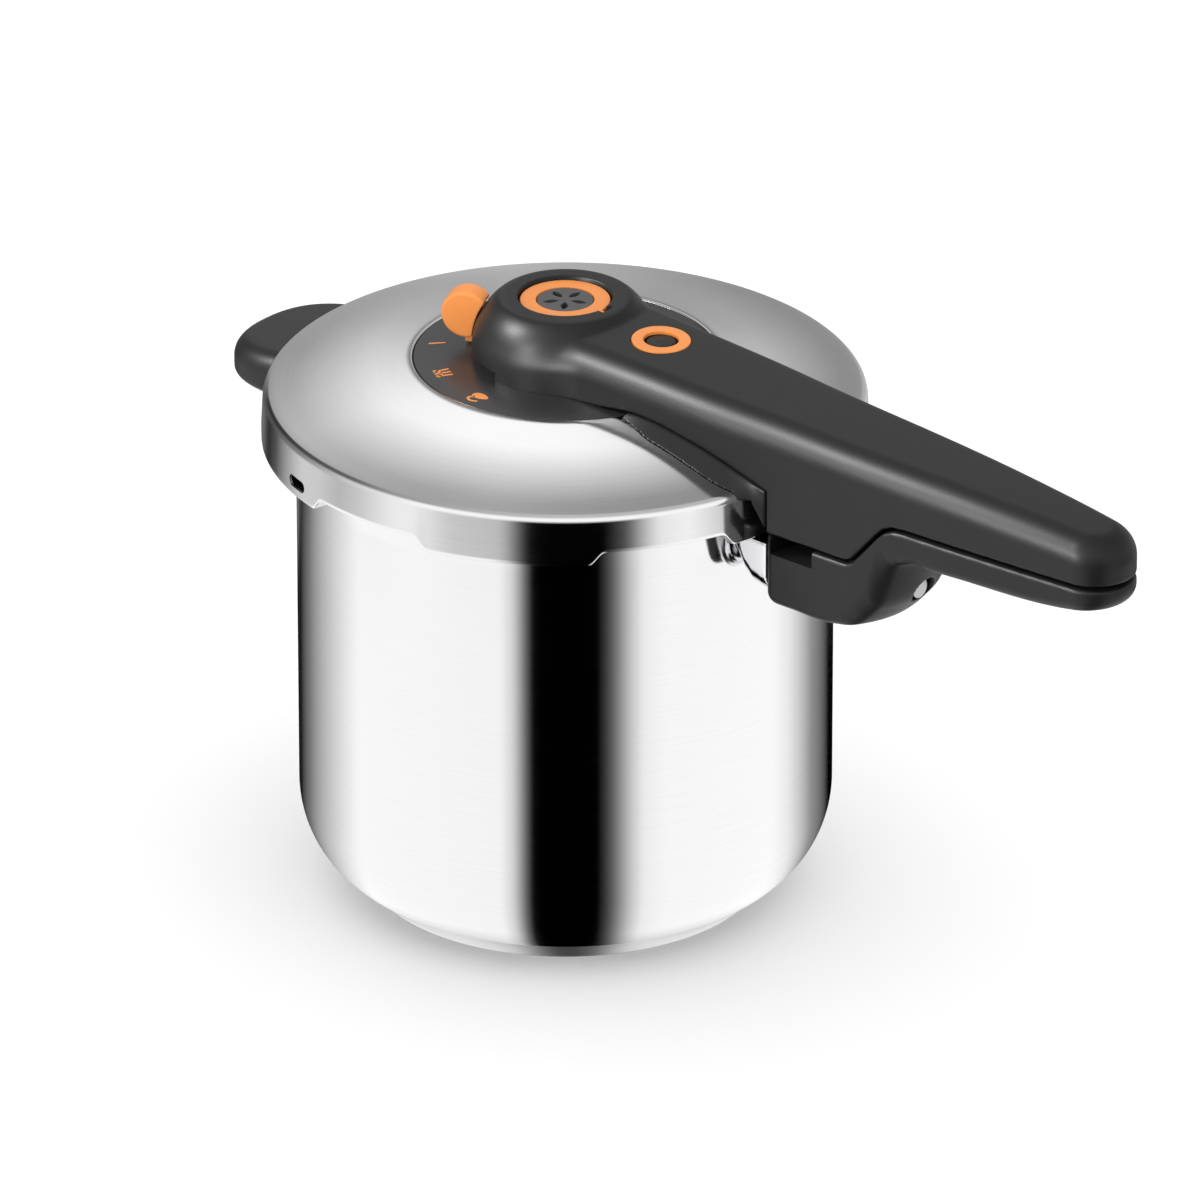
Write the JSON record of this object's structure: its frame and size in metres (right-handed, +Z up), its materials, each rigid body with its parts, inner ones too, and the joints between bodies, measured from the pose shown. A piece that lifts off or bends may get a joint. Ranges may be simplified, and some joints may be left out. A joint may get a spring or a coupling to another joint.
{
  "type": "stovetop pressure cooker",
  "caption": "Tall steel pot with a capsule base, a turning bayonet lid, a pressure selector, valves, a lock and a long two-part plastic handle.",
  "frame": {"origin": "centre of the base's underside, on the pot's axis", "axes": "+Z up along the pot's axis, +X out along the long handle"},
  "size_m": [0.4674, 0.2504, 0.2624],
  "materials": {
    "polished_steel": "mirror-polished stainless steel",
    "satin_steel": "satin",
    "core_aluminium": "raw",
    "hardware_steel": "plain zinc or stainless",
    "handle_plastic": "fine matte texture",
    "plate_plastic": "semi-gloss",
    "grey_plastic": "satin",
    "orange_plastic": "satin",
    "silicone": "matte",
    "valve_brass": "turned"
  },
  "bodies": {
    "pot": {"pot_shell": "polished_steel", "base_cap": "satin_steel", "base_core": "core_aluminium", "handle_ferrule": "polished_steel", "ferrule_nut": "hardware_steel", "pot_handle": "handle_plastic", "pot_handle_bolt": "hardware_steel", "helper_bracket": "hardware_steel", "helper_handle": "handle_plastic", "helper_screw_1": "hardware_steel", "helper_screw_2": "hardware_steel"},
    "lid": {"lid_shell": "polished_steel", "gasket": "silicone", "position_plate": "plate_plastic", "lid_handle_shell": "handle_plastic", "lid_handle_cover": "handle_plastic", "lid_handle_base": "handle_plastic", "cover_screw_1": "hardware_steel", "cover_screw_2": "hardware_steel", "cover_screw_3": "hardware_steel", "lid_handle_bolt_1": "hardware_steel", "lid_handle_bolt_2": "hardware_steel", "lid_handle_nut_1": "hardware_steel", "lid_handle_nut_2": "hardware_steel", "indicator_ring": "orange_plastic", "indicator_bush": "silicone", "valve_body": "valve_brass", "valve_nut": "valve_brass", "valve_seal": "silicone", "valve_spring": "hardware_steel", "safety_body": "valve_brass", "safety_nut": "valve_brass", "safety_cap": "valve_brass", "safety_spring": "hardware_steel", "lock_spring": "hardware_steel"},
    "selector": {"selector_ring": "grey_plastic", "selector_lever": "orange_plastic"},
    "valve_cap": {"cap_ring": "orange_plastic", "vent_disc": "grey_plastic"},
    "valve_plunger": {"valve_plunger": "valve_brass"},
    "indicator": {"indicator_pin": "grey_plastic"},
    "safety_plunger": {"safety_plunger": "valve_brass"},
    "lock_slider": {"lock_slider": "grey_plastic"},
    "lock_pin": {"lock_pin": "hardware_steel"}
  },
  "joints": [
    {"name": "lid_turn", "type": "hinge", "parent": "pot", "child": "lid", "pos_m": [0, 0, 0], "axis": [0, 0, 1], "range_deg": [0, 30]},
    {"name": "selector_turn", "type": "hinge", "parent": "lid", "child": "selector", "pos_m": [0, 0, 0.24], "axis": [0, 0, 1], "range_deg": [0, 57]},
    {"name": "valve_cap_turn", "type": "hinge", "parent": "lid", "child": "valve_cap", "pos_m": [0, 0, 0.26], "axis": [0, 0, 1], "range_deg": [0, 8]},
    {"name": "valve_lift", "type": "slide", "parent": "lid", "child": "valve_plunger", "axis": [0, 0, 1], "range_m": [0, 0.0025], "stiffness_N_per_m": 900, "springref_m": -0.004, "deforming": ["valve_spring"]},
    {"name": "indicator_rise", "type": "slide", "parent": "lid", "child": "indicator", "axis": [0, 0, 1], "range_m": [0, 0.003]},
    {"name": "safety_lift", "type": "slide", "parent": "lid", "child": "safety_plunger", "axis": [0, 0, 1], "range_m": [0, 0.0012], "stiffness_N_per_m": 1500, "springref_m": -0.003, "deforming": ["safety_spring"]},
    {"name": "lock_slide", "type": "slide", "parent": "lid", "child": "lock_slider", "axis": [1, 0, 0], "range_m": [0, 0.00801]},
    {"name": "lock_drop", "type": "slide", "parent": "lid", "child": "lock_pin", "axis": [0, 0, -1], "range_m": [0, 0.00801], "deforming": ["lock_spring"]}
  ],
  "couplings": [
    {"joint": "lock_slide", "follows": "selector_turn", "m_per_rad": 0.00804},
    {"joint": "lock_drop", "follows": "selector_turn", "m_per_rad": 0.00804}
  ]
}
